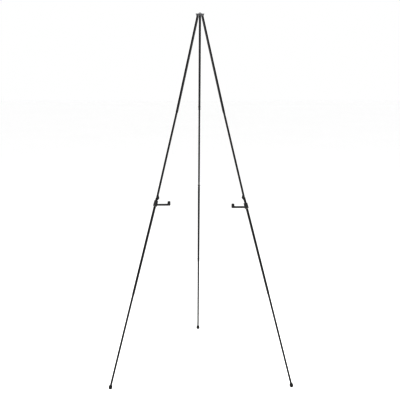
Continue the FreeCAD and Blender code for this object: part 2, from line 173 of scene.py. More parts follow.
def leg_place(leg, index, lean=None):
    """Where a channel's own frame lies: X along its pin, Y outwards, Z up the channel,
    in millimetres from the pin that it hangs on."""
    pins = ("_leg_splay", "_leg_fold", "_middle_fold", "_lower_fold")
    pin = Vector(joints[leg + pins[index]]["pos_m"])
    across = Vector(joints[leg + "_leg_fold"]["axis"])
    level = Vector((0, 0, 1)).cross(across)
    angle = lean_of(leg)[index] if lean is None else lean
    out = level * math.cos(angle) + Vector((0, 0, math.sin(angle)))
    up = across.cross(out)
    turn = Matrix((across, out, up)).transposed().to_4x4()
    return Matrix.Translation(pin) @ turn @ Matrix.Scale(MM, 4)


def in_frame(place, point):
    """A point of the easel in a channel's own millimetres."""
    return place.inverted() @ Vector(point)


def node_span(node, place):
    """Lowest and highest corner of a CAD node in a channel's own frame."""
    back = place.inverted()
    seen = [back @ v.co for v in frame["nodes"][node].data.vertices]
    low = Vector([min(p[i] for p in seen) for i in range(3)])
    high = Vector([max(p[i] for p in seen) for i in range(3)])
    return low, high


def arc(cx, cy, radius, start, end, steps):
    """Points along an arc, in degrees."""
    angles = [math.radians(start + (end - start) * i / steps) for i in range(steps + 1)]
    return [(cx + radius * math.cos(a), cy + radius * math.sin(a)) for a in angles]


def fill(outline, holes):
    """Triangles that fill an outline round its holes: points, and index triples."""
    last = 360 - 360 / HOLE_POINTS
    loops = [outline] + [arc(y, z, r, 0, last, HOLE_POINTS - 1) for y, z, r in holes]
    points, edges = [], []
    for loop in loops:
        first = len(points)
        points += [Vector(p) for p in loop]
        edges += [(first + i, first + (i + 1) % len(loop)) for i in range(len(loop))]
    made, _, faces, _, _, _ = delaunay_2d_cdt(points, edges, [], 0, 1e-6)

    def inside(y, z):
        odd = False
        for (y0, z0), (y1, z1) in zip(outline, outline[1:] + outline[:1]):
            if (z0 > z) != (z1 > z) and y < (y1 - y0) * (z - z0) / (z1 - z0) + y0:
                odd = not odd
        return odd and all(math.hypot(y - hy, z - hz) > r for hy, hz, r in holes)

    kept = []
    for face in faces:
        y = sum(made[i].x for i in face) / 3
        z = sum(made[i].y for i in face) / 3
        if inside(y, z):
            kept.append(face)
    return made, kept


def settle(piece, place, smooth=35.0):
    """Apply a piece's modifiers, then move its millimetre mesh to its place in metres."""
    bpy.context.scene.collection.objects.link(piece)
    bpy.context.view_layer.update()
    graph = bpy.context.evaluated_depsgraph_get()
    mesh = bpy.data.meshes.new_from_object(piece.evaluated_get(graph), depsgraph=graph)
    mesh.name = piece.name
    piece.modifiers.clear()
    piece.data = mesh
    mesh.transform(place)
    if place.determinant() < 0:
        mesh.flip_normals()
    mesh.shade_smooth()
    mesh.set_sharp_from_angle(angle=math.radians(smooth))
    weighted = piece.modifiers.new("even_normals", "WEIGHTED_NORMAL")
    weighted.keep_sharp = True
    graph = bpy.context.evaluated_depsgraph_get()
    even = bpy.data.meshes.new_from_object(piece.evaluated_get(graph), depsgraph=graph)
    piece.modifiers.clear()
    piece.data = even
    return piece


def bent_strip(name, half, back, wall, holes, bends, web):
    """A U channel from its flat pieces. wall is a side's outline in Y and Z, bends the
    heights between which the strip is bent, and web the heights of the whole web."""
    bm = bmesh.new()

    def face(points, facing):
        made = bm.faces.new([bm.verts.new(p) for p in points])
        made.normal_update()
        if made.normal.dot(Vector(facing)) < 0:
            made.normal_flip()

    points, triangles = fill(wall, holes)
    for side in (-1, 1):
        for triangle in triangles:
            face([(side * half, points[i].x, points[i].y) for i in triangle], (side, 0, 0))
        steps = arc(half - BEND_OUTSIDE, back + BEND_OUTSIDE, BEND_OUTSIDE, 0, -90, 6)
        for (x0, y0), (x1, y1) in zip(steps, steps[1:]):
            quad = [(side * x0, y0, bends[0]), (side * x1, y1, bends[0]),
                    (side * x1, y1, bends[1]), (side * x0, y0, bends[1])]
            face(quad, (side * (x0 + x1), y0 + y1 - 2 * (back + BEND_OUTSIDE), 0))
    edge = half - BEND_OUTSIDE
    face([(-edge, back, bends[1]), (edge, back, bends[1]),
          (edge, back, bends[0]), (-edge, back, bends[0])], (0, -1, 0))
    tongue = edge - RELIEF
    for bend_end, web_end in zip(bends, web):
        if bend_end != web_end:
            face([(-edge, back, bend_end), (edge, back, bend_end),
                  (tongue, back, web_end), (-tongue, back, web_end)], (0, -1, 0))
    bmesh.ops.remove_doubles(bm, verts=bm.verts, dist=1e-4)
    mesh = bpy.data.meshes.new(name)
    bm.to_mesh(mesh)
    bm.free()
    piece = bpy.data.objects.new(name, mesh)
    thick = piece.modifiers.new("strip", "SOLIDIFY")
    thick.thickness = STRIP
    thick.offset = -1.0
    rounded = piece.modifiers.new("tumbled", "BEVEL")
    rounded.width = CUT_EDGE
    rounded.segments = 2
    rounded.limit_method = "ANGLE"
    rounded.angle_limit = math.radians(50)
    return piece


def powder_coat(name, tint, grey):
    """Satin powder coat: a fine orange-peel skin, cloudy in tone and sheen, with paler
    steel showing where an edge is rubbed."""
    material, tree, shader, add = node_tree(name)
    link = tree.links.new
    place = add("ShaderNodeTexCoord").outputs["Object"]
    cloud = add("ShaderNodeTexNoise", Scale=16.0, Detail=4.0, Roughness=0.6)
    peel = add("ShaderNodeTexNoise", Scale=1400.0, Detail=2.0)
    grain = add("ShaderNodeTexVoronoi", Scale=900.0)
    scuff = add("ShaderNodeTexNoise", Scale=240.0, Detail=6.0, Roughness=0.7)
    for texture in (cloud, peel, grain, scuff):
        link(place, texture.inputs["Vector"])
    tone = add("ShaderNodeValToRGB")
    tone.color_ramp.elements[0].position = 0.35
    tone.color_ramp.elements[0].color = (grey * 0.72, grey * 0.73, grey * 0.76, 1)
    tone.color_ramp.elements[1].position = 0.68
    tone.color_ramp.elements[1].color = (grey * tint[0], grey * tint[1], grey * tint[2], 1)
    link(cloud.outputs["Fac"], tone.inputs["Fac"])
    form = add("ShaderNodeNewGeometry")
    edge = add("ShaderNodeMapRange")
    edge.inputs["From Min"].default_value = 0.52
    edge.inputs["From Max"].default_value = 0.62
    link(form.outputs["Pointiness"], edge.inputs["Value"])
    patch = add("ShaderNodeMapRange")
    patch.inputs["From Min"].default_value = 0.5
    patch.inputs["From Max"].default_value = 0.66
    link(scuff.outputs["Fac"], patch.inputs["Value"])
    worn = add("ShaderNodeMath", operation="MULTIPLY")
    link(edge.outputs["Result"], worn.inputs[0])
    link(patch.outputs["Result"], worn.inputs[1])
    colour = add("ShaderNodeMix", data_type="RGBA")
    link(worn.outputs["Value"], colour.inputs["Factor"])
    link(tone.outputs["Color"], colour.inputs["A"])
    colour.inputs["B"].default_value = (0.20, 0.20, 0.21, 1)
    link(colour.outputs["Result"], shader.inputs["Base Color"])
    sheen = add("ShaderNodeMapRange")
    sheen.inputs["To Min"].default_value = 0.36
    sheen.inputs["To Max"].default_value = 0.56
    link(cloud.outputs["Fac"], sheen.inputs["Value"])
    link(sheen.outputs["Result"], shader.inputs["Roughness"])
    metal = add("ShaderNodeMath", operation="MULTIPLY")
    link(worn.outputs["Value"], metal.inputs[0])
    metal.inputs[1].default_value = 0.7
    link(metal.outputs["Value"], shader.inputs["Metallic"])
    skin = add("ShaderNodeMath", operation="ADD")
    link(peel.outputs["Fac"], skin.inputs[0])
    link(grain.outputs["Distance"], skin.inputs[1])
    bump = add("ShaderNodeBump", Strength=0.22, Distance=0.0002)
    link(skin.outputs["Value"], bump.inputs["Height"])
    link(bump.outputs["Normal"], shader.inputs["Normal"])
    shader.inputs["Specular IOR Level"].default_value = 0.38
    return material


leg_coat = powder_coat("leg_powder_coat", (1.0, 1.02, 1.06), 0.021)


def stand_for(piece, node, body, material):
    """Give a finished piece its material and its body, and hide the CAD node that it replaces."""
    piece.data.materials.clear()
    piece.data.materials.append(material)
    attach(piece, body)
    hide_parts(node)


def end_corner(tip, bottom, radius, root):
    """The rounded lower corner of a channel's side, from its free edge to its bend."""
    return arc(tip - radius, bottom + radius, radius, 0, -90, 6) + [(root, bottom)]


def ear_outline(root, side):
    """An ear about the middle pin; side is 1 where the channel lies above the pin."""
    far = math.hypot(root, EAR_ROOT)
    touch = math.degrees(math.atan2(EAR_ROOT, root) + math.acos(EAR_RADIUS / far))
    lip = math.degrees(math.asin(END_GAP / 2 / EAR_RADIUS))
    curve = arc(0, 0, EAR_RADIUS, touch, 360 + lip, 20)
    return [(root, EAR_ROOT * side)] + [(y, z * side) for y, z in curve]


for leg in LEGS:
    place = leg_place(leg, 0)
    low, high = node_span(leg + "_upper_channel", place)
    root = low.y + BEND_OUTSIDE
    shoulder = math.degrees(math.asin(STOP_RISE / high.y))
    wall = [(root, low.z), (root, STOP_RISE)]
    wall += arc(0, 0, high.y, 180 - shoulder, 0, 16)
    wall += end_corner(high.y, low.z, CORNER, root)[:-1]
    lower_pin = in_frame(place, joints[leg + "_leg_fold"]["pos_m"])
    holes = [(0, 0, RIVET_HOLE), (lower_pin.y, lower_pin.z, RIVET_HOLE)]
    piece = bent_strip(leg + "_first_strip", high.x, low.y, wall, holes,
                       (STOP_RISE, low.z), (STOP_RISE, low.z))
    settle(piece, place)
    stand_for(piece, leg + "_upper_channel", leg + "_upper", leg_coat)

    place = leg_place(leg, 1)
    low, high = node_span(leg + "_second_channel", place)
    pin = in_frame(place, joints[leg + "_middle_fold"]["pos_m"])
    back = pin.y + EAR_OFFSET
    root = back + BEND_OUTSIDE
    end = pin.z + END_GAP / 2
    wall = [(root, pin.z + EAR_ROOT), (root, 0.0)]
    start = math.degrees(math.acos(root / high.y))
    wall += arc(0, 0, high.y, start, 0, 16)
    wall += [(high.y, end + SNIP), (high.y - SNIP, end)]
    ear = [(y + pin.y, z + pin.z) for y, z in ear_outline(EAR_OFFSET + BEND_OUTSIDE, 1)]
    wall += list(reversed(ear[1:]))
    holes = [(0, 0, RIVET_HOLE), (pin.y, pin.z, RIVET_HOLE)]
    piece = bent_strip(leg + "_second_strip", high.x, back, wall, holes,
                       (0.0, pin.z + EAR_ROOT), (0.0, end))
    settle(piece, place)
    stand_for(piece, leg + "_second_channel", leg + "_second", leg_coat)

    place = leg_place(leg, 2)
    low, high = node_span(leg + "_third_channel", place)
    back = EAR_OFFSET
    root = back + BEND_OUTSIDE
    end = -END_GAP / 2
    wall = [(root, low.z), (root, -EAR_ROOT)]
    wall += ear_outline(root, -1)[1:]
    wall += [(high.y - SNIP, end), (high.y, end - SNIP)]
    wall += end_corner(high.y, low.z, CORNER, root)[:-1]
    lower_pin = in_frame(place, joints[leg + "_lower_fold"]["pos_m"])
    holes = [(0, 0, RIVET_HOLE), (lower_pin.y, lower_pin.z, RIVET_HOLE)]
    piece = bent_strip(leg + "_third_strip", high.x, back, wall, holes,
                       (-EAR_ROOT, low.z), (end, low.z))
    settle(piece, place)
    stand_for(piece, leg + "_third_channel", leg + "_third", leg_coat)

    place = leg_place(leg, 3)
    low, high = node_span(leg + "_lower_channel", place)
    root = low.y + BEND_OUTSIDE
    wall = [(root, low.z), (root, 0.0)]
    start = math.degrees(math.acos(root / high.y))
    wall += arc(0, 0, high.y, start, 0, 16)
    wall += [(high.y, low.z)]
    piece = bent_strip(leg + "_fourth_strip", high.x, low.y, wall, [(0, 0, RIVET_HOLE)],
                       (0.0, low.z), (0.0, low.z))
    settle(piece, place)
    stand_for(piece, leg + "_lower_channel", leg + "_lower", leg_coat)

# Joint rivets: semi-tubular steel rivets, black oxide finish. The low domed head faces
# the front, and the hollow tail is rolled over at the back of the joint.
HEAD_RISE = 0.8          # a rivet's head and its tail stand this far out
SHANK = 1.5
HEAD_WIDE = 2.45         # radius of the domed head
HEAD_RIM = 0.16          # its edge is this thick
ROLL = 0.68              # radius of the rolled tail's curl
DIMPLE = 0.7             # depth of the tail's hollow


def round_loop(radius, z, count=40, flutes=0, cut=0.0):
    """A circle of points at a height; flutes are shallow vertical grooves cut in it."""
    loop = []
    for i in range(count):
        turn = math.tau * i / count
        reach = radius - cut * (0.5 - 0.5 * math.cos(flutes * turn))
        loop.append(Vector((reach * math.cos(turn), reach * math.sin(turn), z)))
    return loop


def skin(bm, loops, closed=False):
    """Cover a row of equal loops. closed joins the last loop to the first; otherwise
    each end is filled."""
    rows = [[bm.verts.new(point) for point in loop] for loop in loops]
    pairs = list(zip(rows, rows[1:]))
    if closed:
        pairs.append((rows[-1], rows[0]))
    for below, above in pairs:
        for i in range(len(below)):
            j = (i + 1) % len(below)
            bm.faces.new((below[i], below[j], above[j], above[i]))
    if not closed:
        bm.faces.new(list(reversed(rows[0])))
        bm.faces.new(rows[-1])


def solid(name, bm):
    """An object of a finished mesh, its faces turned outwards."""
    bmesh.ops.recalc_face_normals(bm, faces=bm.faces)
    mesh = bpy.data.meshes.new(name)
    bm.to_mesh(mesh)
    bm.free()
    return bpy.data.objects.new(name, mesh)


def domed(radius, low, high, centre=0.3, steps=8):
    """A dome's outline from its rim at one height to near its middle at another."""
    rise = high - low
    ball = (radius ** 2 + rise ** 2) / (2 * rise)
    outline = []
    for i in range(steps + 1):
        reach = radius + (centre - radius) * i / steps
        outline.append((reach, high - ball + math.sqrt(ball ** 2 - reach ** 2)))
    return outline


def rivet_outline(grip):
    """Radius and distance along a rivet, from its tail's hollow to its domed head."""
    end = grip / 2
    curl = HEAD_WIDE - ROLL
    outline = [(0.25, DIMPLE - end), (curl - ROLL - 0.1, DIMPLE * 0.6 - end)]
    outline += arc(curl, -end - HEAD_RISE + ROLL, ROLL, 180, 360, 8)
    outline += [(HEAD_WIDE, -end), (SHANK, -end), (SHANK, end), (HEAD_WIDE, end)]
    return outline + domed(HEAD_WIDE, end + HEAD_RIM, end + HEAD_RISE)


def front_side(leg):
    """Which end of a leg's pins faces the front."""
    return -1 if joints[leg + "_leg_fold"]["axis"][1] > 0 else 1


def rivet_loops(grip, front):
    """A rivet's loops, its domed head towards front along X."""
    lay = Matrix.Rotation(math.radians(90 * front), 4, "Y")
    return [[lay @ point for point in round_loop(r, z)] for r, z in rivet_outline(grip)]


def black_oxide():
    """Blackened steel, dull and slightly brown, rubbed bright on its high places."""
    material, tree, shader, add = node_tree("rivet_black_oxide")
    link = tree.links.new
    place = add("ShaderNodeTexCoord").outputs["Object"]
    stain = add("ShaderNodeTexNoise", Scale=420.0, Detail=5.0, Roughness=0.65)
    pits = add("ShaderNodeTexNoise", Scale=2600.0, Detail=3.0)
    link(place, stain.inputs["Vector"])
    link(place, pits.inputs["Vector"])
    tone = add("ShaderNodeValToRGB")
    tone.color_ramp.elements[0].position = 0.3
    tone.color_ramp.elements[0].color = (0.022, 0.021, 0.020, 1)
    tone.color_ramp.elements[1].position = 0.72
    tone.color_ramp.elements[1].color = (0.075, 0.073, 0.071, 1)
    link(stain.outputs["Fac"], tone.inputs["Fac"])
    form = add("ShaderNodeNewGeometry")
    rubbed = add("ShaderNodeMapRange")
    rubbed.inputs["From Min"].default_value = 0.5
    rubbed.inputs["From Max"].default_value = 0.6
    link(form.outputs["Pointiness"], rubbed.inputs["Value"])
    colour = add("ShaderNodeMix", data_type="RGBA")
    link(rubbed.outputs["Result"], colour.inputs["Factor"])
    link(tone.outputs["Color"], colour.inputs["A"])
    colour.inputs["B"].default_value = (0.22, 0.21, 0.20, 1)
    link(colour.outputs["Result"], shader.inputs["Base Color"])
    sheen = add("ShaderNodeMapRange")
    sheen.inputs["To Min"].default_value = 0.3
    sheen.inputs["To Max"].default_value = 0.55
    link(stain.outputs["Fac"], sheen.inputs["Value"])
    link(sheen.outputs["Result"], shader.inputs["Roughness"])
    bump = add("ShaderNodeBump", Strength=0.25, Distance=0.00008)
    link(pits.outputs["Fac"], bump.inputs["Height"])
    link(bump.outputs["Normal"], shader.inputs["Normal"])
    shader.inputs["Metallic"].default_value = 0.85
    return material


rivet_finish = black_oxide()

for leg in LEGS:
    for joint_name, index, body in (("upper", 1, "_upper"), ("middle", 2, "_third"),
                                    ("lower", 3, "_third")):
        node = leg + "_" + joint_name + "_rivet"
        held_by = 0 if joint_name == "upper" else 2
        place = leg_place(leg, index, lean_of(leg)[held_by])
        low, high = node_span(node, place)
        bm = bmesh.new()
        skin(bm, rivet_loops(high.x - low.x - 2 * HEAD_RISE, front_side(leg)))
        piece = settle(solid(leg + "_" + joint_name + "_joint_rivet", bm), place)
        stand_for(piece, node, leg + body, rivet_finish)

# Feet: moulded rubber, pushed on over the ends of the lower channels. Each has grip
# rings round its side, a socket that holds the channel, and a flat worn where it stands.
FOOT_EDGE = 5.5          # rounding of the lower edge
FOOT_RIM = 2.2           # rounding of the upper edge
FOOT_TALL = 15.4
SOCKET = 10.0            # depth of the socket
SOCKET_EASE = 0.04
GRIP_RINGS = (3.8, 5.9, 8.0)                  # depths of the grooves below the foot's top
GRIP_CUT = 0.42          # a groove's depth
GRIP_HALF = 0.75         # half its width at its mouth
GRIP_FLOOR = 0.35        # and at its floor
SOCKET_LIP = 0.35        # rounding of the socket's mouth
SOCKET_CORNER = 0.2


def to_edge(turn, half_x, half_y, corner):
    """How far it is from the middle of a rounded rectangle to its edge, at an angle."""
    x, y = abs(math.cos(turn)), abs(math.sin(turn))
    reach = min(half_x / max(x, 1e-9), half_y / max(y, 1e-9))
    centre_x, centre_y = half_x - corner, half_y - corner
    if reach * x > centre_x and reach * y > centre_y:
        along = centre_x * x + centre_y * y
        reach = along + math.sqrt(corner ** 2 - centre_x ** 2 - centre_y ** 2 + along ** 2)
    return reach


def box_loop(half_x, half_y, corner, z, count=40, y=0.0):
    """A rounded rectangle of points at a height, spaced like a circle's."""
    loop = []
    for i in range(count):
        turn = math.tau * i / count
        reach = to_edge(turn, half_x, half_y, corner)
        loop.append(Vector((reach * math.cos(turn), y + reach * math.sin(turn), z)))
    return loop


def moulded(name, grey, rough, grain, relief, scuffs):
    """A moulded black part: a spark-eroded skin, flow clouds, pale scuffs on its edges."""
    material, tree, shader, add = node_tree(name)
    link = tree.links.new
    place = add("ShaderNodeTexCoord").outputs["Object"]
    cloud = add("ShaderNodeTexNoise", Scale=90.0, Detail=4.0, Roughness=0.55)
    spark = add("ShaderNodeTexNoise", Scale=grain, Detail=4.0, Roughness=0.7)
    scratch = add("ShaderNodeTexNoise", Scale=300.0, Detail=7.0, Roughness=0.75)
    for texture in (cloud, spark, scratch):
        link(place, texture.inputs["Vector"])
    tone = add("ShaderNodeValToRGB")
    tone.color_ramp.elements[0].position = 0.32
    tone.color_ramp.elements[0].color = (grey * 0.75, grey * 0.75, grey * 0.77, 1)
    tone.color_ramp.elements[1].position = 0.7
    tone.color_ramp.elements[1].color = (grey * 1.25, grey * 1.24, grey * 1.22, 1)
    link(cloud.outputs["Fac"], tone.inputs["Fac"])
    form = add("ShaderNodeNewGeometry")
    edge = add("ShaderNodeMapRange")
    edge.inputs["From Min"].default_value = 0.5
    edge.inputs["From Max"].default_value = 0.62
    link(form.outputs["Pointiness"], edge.inputs["Value"])
    patch = add("ShaderNodeMapRange")
    patch.inputs["From Min"].default_value = 0.45
    patch.inputs["From Max"].default_value = 0.7
    patch.inputs["To Max"].default_value = scuffs
    link(scratch.outputs["Fac"], patch.inputs["Value"])
    worn = add("ShaderNodeMath", operation="MULTIPLY")
    link(edge.outputs["Result"], worn.inputs[0])
    link(patch.outputs["Result"], worn.inputs[1])
    colour = add("ShaderNodeMix", data_type="RGBA")
    link(worn.outputs["Value"], colour.inputs["Factor"])
    link(tone.outputs["Color"], colour.inputs["A"])
    colour.inputs["B"].default_value = (0.16, 0.16, 0.155, 1)
    link(colour.outputs["Result"], shader.inputs["Base Color"])
    sheen = add("ShaderNodeMapRange")
    sheen.inputs["To Min"].default_value = rough - 0.1
    sheen.inputs["To Max"].default_value = rough + 0.1
    link(scratch.outputs["Fac"], sheen.inputs["Value"])
    link(sheen.outputs["Result"], shader.inputs["Roughness"])
    bump = add("ShaderNodeBump", Strength=relief, Distance=0.00012)
    link(spark.outputs["Fac"], bump.inputs["Height"])
    link(bump.outputs["Normal"], shader.inputs["Normal"])
    shader.inputs["Specular IOR Level"].default_value = 0.35
    return material


foot_rubber = moulded("foot_rubber_matt", 0.024, 0.72, 1700.0, 0.35, 0.55)


def foot_loops(radius, top, half_x, half_y, socket_y):
    """A foot's loops, from the middle of its underside to the floor of its socket."""
    low = top - FOOT_TALL
    outline = arc(radius - FOOT_EDGE, low + FOOT_EDGE, FOOT_EDGE, -90, 0, 10)
    for depth in reversed(GRIP_RINGS):
        middle = top - depth
        outline += [(radius, middle - GRIP_HALF), (radius - GRIP_CUT, middle - GRIP_FLOOR),
                    (radius - GRIP_CUT, middle + GRIP_FLOOR), (radius, middle + GRIP_HALF)]
    outline += arc(radius - FOOT_RIM, top - FOOT_RIM, FOOT_RIM, 0, 90, 6)
    loops = [round_loop(r, z) for r, z in outline]
    loops.append(box_loop(half_x + SOCKET_LIP, half_y + SOCKET_LIP, SOCKET_LIP, top,
                          y=socket_y))
    for depth in (SOCKET_LIP, SOCKET):
        loops.append(box_loop(half_x, half_y, SOCKET_CORNER, top - depth, y=socket_y))
    return loops


for leg in LEGS:
    place = leg_place(leg, 3)
    low, high = node_span(leg + "_foot", place)
    leg_low, leg_high = node_span(leg + "_lower_channel", place)
    centre = (low.y + high.y) / 2
    half_y = (leg_high.y - leg_low.y) / 2 + SOCKET_EASE
    bm = bmesh.new()
    skin(bm, foot_loops((high.y - low.y) / 2, high.z, leg_high.x + SOCKET_EASE, half_y,
                        (leg_high.y + leg_low.y) / 2 - centre))
    piece = settle(solid(leg + "_rubber_foot", bm), place @ Matrix.Translation((0, centre, 0)))
    for vertex in piece.data.vertices:
        vertex.co.z = max(vertex.co.z, 0.0)
    stand_for(piece, leg + "_foot", leg + "_lower", foot_rubber)

# Head plate: a round cover spun from 1.4 mm sheet, with a rolled rim and one pressed
# stiffening bead, in the legs' satin finish but coloured a mid grey, far paler than the legs. The centre rivet
# clamps it to the bracket.
RIM_ROLL = 0.9           # rounding of the rim's upper edge
RIM_UNDER = 0.3          # and of its lower edge
BEAD_AT = 12.8           # radius of the pressed bead
BEAD_HALF = 1.3
BEAD_RISE = 0.4
SHANK_HOLE = 3.25
COVER_POINTS = 96
cover_low, cover_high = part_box("head_plate")
COVER_RADIUS = (cover_high.x - cover_low.x) / 2 / MM
COVER_THICK = (cover_high.z - cover_low.z) / MM
COVER_PLACE = Matrix.Translation((stem.x, stem.y, cover_low.z)) @ Matrix.Scale(MM, 4)

# The head's colour is a mid grey, 0.26 against the legs' 0.021, much paler than the black legs.
head_coat = powder_coat("head_powder_coat", (1.0, 1.0, 1.02), 0.26)


def plate_outline(radius, thick):
    """The plate's section, out along its underside and back along its top."""
    outline = [(SHANK_HOLE, 0.0), (radius - 0.5, 0.0)]
    outline += arc(radius - RIM_UNDER, RIM_UNDER, RIM_UNDER, -90, 0, 3)
    outline += arc(radius - RIM_ROLL, thick - RIM_ROLL, RIM_ROLL, 0, 90, 6)
    for i in range(9):
        across = 1 - i / 4
        rise = BEAD_RISE * (0.5 + 0.5 * math.cos(math.pi * across))
        outline.append((BEAD_AT + BEAD_HALF * across, thick + rise))
    return outline + [(SHANK_HOLE, thick)]


bm = bmesh.new()
skin(bm, [round_loop(r, z, COVER_POINTS) for r, z in plate_outline(COVER_RADIUS, COVER_THICK)],
     closed=True)
piece = settle(solid("head_cover_plate", bm), COVER_PLACE)
stand_for(piece, "head_plate", "head", head_coat)

# Hinge bracket: one steel pressing under the cover, a disc with three clevises bent down
# and a stop across the inner side of each, which holds the legs at their splay.
BRACKET_SHEET = 1.2      # thickness of the pressing
BRACKET_INSET = 0.8      # smaller than the cover all round
CLEVIS_INSIDE = 4.45     # from the middle of a leg to the clevis's inner face
CLEVIS_ROUND = 4.6       # rounding of the ears about the pin
STOP_FACE = -3.99        # the stop's outer face, from the pin
STOP_DROP = 2.0
STOP_CORNER = 206.0      # where an ear's round foot meets the stop's lower edge, degrees
SHEET_EDGE = 0.3         # broken edge of the disc
PIN_EASE = 0.02          # radial room round a hinge rivet
DRILL = 9.0              # a pin hole's drill runs this far each side of the leg


def cut_away(piece, name, loops):
    """Take the solid of some loops out of a piece."""
    bm = bmesh.new()
    skin(bm, loops)
    tool = solid(name, bm)
    bpy.context.scene.collection.objects.link(tool)
    cut = piece.modifiers.new(name, "BOOLEAN")
    cut.operation = "DIFFERENCE"
    cut.solver = "EXACT"
    cut.object = tool
    return tool


def flow_together(piece, cell, keep):
    """Join the solids in a piece to one skin with small fillets where they meet."""
    join = piece.modifiers.new("join", "REMESH")
    join.mode = "VOXEL"
    join.voxel_size = cell
    even = piece.modifiers.new("even", "SMOOTH")
    even.factor = 0.5
    even.iterations = 4
    thin = piece.modifiers.new("thin", "DECIMATE")
    thin.ratio = keep


def clevis_solids(bm, place, top):
    """Two ears and a stop about one leg's pin, in the bracket's own frame."""
    back = STOP_FACE - BRACKET_SHEET
    ear = arc(0, 0, CLEVIS_ROUND, STOP_CORNER, 360, 14)
    ear += [(CLEVIS_ROUND, top), (back, top), (back, -STOP_DROP)]
    for near in (-CLEVIS_INSIDE - BRACKET_SHEET, CLEVIS_INSIDE):
        skin(bm, [[place @ Vector((x, y, z)) for y, z in ear]
                  for x in (near, near + BRACKET_SHEET)])
    wide = CLEVIS_INSIDE + BRACKET_SHEET
    stop = [(back, -STOP_DROP), (STOP_FACE, -STOP_DROP), (STOP_FACE, top), (back, top)]
    skin(bm, [[place @ Vector((x, y, z)) for y, z in stop] for x in (-wide, wide)])


bracket_place = COVER_PLACE @ Matrix.Translation((0, 0, -BRACKET_SHEET))
rim = COVER_RADIUS - BRACKET_INSET
bm = bmesh.new()
disc = [(SHANK_HOLE, 0.0), (rim - SHEET_EDGE, 0.0), (rim, SHEET_EDGE),
        (rim, BRACKET_SHEET - SHEET_EDGE), (rim - SHEET_EDGE, BRACKET_SHEET),
        (SHANK_HOLE, BRACKET_SHEET)]
skin(bm, [round_loop(r, z, COVER_POINTS) for r, z in disc], closed=True)
pin_places = [bracket_place.inverted() @ leg_place(leg, 0, 0.0) for leg in LEGS]
for pin_place in pin_places:
    clevis_solids(bm, pin_place, -pin_place.translation.z + BRACKET_SHEET / 2)
bracket = solid("hinge_pressing", bm)
flow_together(bracket, 0.24, 0.3)
tools = []
for leg, pin_place in zip(LEGS, pin_places):
    lay = pin_place @ Matrix.Rotation(math.radians(90), 4, "Y")
    bore = [[lay @ point for point in round_loop(SHANK + PIN_EASE, z)]
            for z in (-DRILL, DRILL)]
    tools.append(cut_away(bracket, leg + "_pin_hole", bore))
piece = settle(bracket, bracket_place, 50.0)
for tool in tools:
    bpy.data.objects.remove(tool)
stand_for(piece, "hinge_bracket", "head", head_coat)

# Hinge rivets: the same kind as the joint rivets, long enough to pass both ears of a
# clevis. All three are one group, like the fasteners of one bag.
CLEVIS_GRIP = 2 * (CLEVIS_INSIDE + BRACKET_SHEET)
bm = bmesh.new()
for leg, pin_place in zip(LEGS, pin_places):
    loops = rivet_loops(CLEVIS_GRIP, front_side(leg))
    skin(bm, [[pin_place @ point for point in loop] for loop in loops])
piece = settle(solid("head_hinge_pins", bm), bracket_place)
stand_for(piece, "head_hinge_rivets", "head", rivet_finish)

# Centre rivet: a solid rivet with a large dome, enamelled gloss black, that clamps the
# cover to the bracket. Its other end is upset flat under the disc, with a centre dent.
DOME = 7.5               # radius of the dome
DOME_TALL = 4.6
DOME_RIM = 0.5
UPSET = 4.8              # radius of the upset end
UPSET_TALL = 1.6
UPSET_EDGE = 0.5         # rounding of its rim
DOME_POINTS = 72


def gloss_enamel():
    """Stoved black enamel: deep gloss over a faint orange peel, chipped at the rim."""
    material, tree, shader, add = node_tree("dome_gloss_enamel")
    link = tree.links.new
    place = add("ShaderNodeTexCoord").outputs["Object"]
    cloud = add("ShaderNodeTexNoise", Scale=160.0, Detail=3.0)
    peel = add("ShaderNodeTexNoise", Scale=700.0, Detail=1.0)
    chip = add("ShaderNodeTexNoise", Scale=520.0, Detail=6.0, Roughness=0.7)
    for texture in (cloud, peel, chip):
        link(place, texture.inputs["Vector"])
    tone = add("ShaderNodeValToRGB")
    tone.color_ramp.elements[0].color = (0.008, 0.008, 0.009, 1)
    tone.color_ramp.elements[1].color = (0.018, 0.018, 0.020, 1)
    link(cloud.outputs["Fac"], tone.inputs["Fac"])
    form = add("ShaderNodeNewGeometry")
    rim = add("ShaderNodeMapRange")
    rim.inputs["From Min"].default_value = 0.53
    rim.inputs["From Max"].default_value = 0.6
    link(form.outputs["Pointiness"], rim.inputs["Value"])
    flake = add("ShaderNodeMapRange")
    flake.inputs["From Min"].default_value = 0.52
    flake.inputs["From Max"].default_value = 0.6
    link(chip.outputs["Fac"], flake.inputs["Value"])
    bare = add("ShaderNodeMath", operation="MULTIPLY")
    link(rim.outputs["Result"], bare.inputs[0])
    link(flake.outputs["Result"], bare.inputs[1])
    colour = add("ShaderNodeMix", data_type="RGBA")
    link(bare.outputs["Value"], colour.inputs["Factor"])
    link(tone.outputs["Color"], colour.inputs["A"])
    colour.inputs["B"].default_value = (0.3, 0.29, 0.28, 1)
    link(colour.outputs["Result"], shader.inputs["Base Color"])
    gloss = add("ShaderNodeMapRange")
    gloss.inputs["To Min"].default_value = 0.14
    gloss.inputs["To Max"].default_value = 0.26
    link(cloud.outputs["Fac"], gloss.inputs["Value"])
    link(gloss.outputs["Result"], shader.inputs["Roughness"])
    bump = add("ShaderNodeBump", Strength=0.12, Distance=0.0002)
    link(peel.outputs["Fac"], bump.inputs["Height"])
    link(bump.outputs["Normal"], shader.inputs["Normal"])
    shader.inputs["Coat Weight"].default_value = 0.6
    shader.inputs["Coat Roughness"].default_value = 0.08
    return material


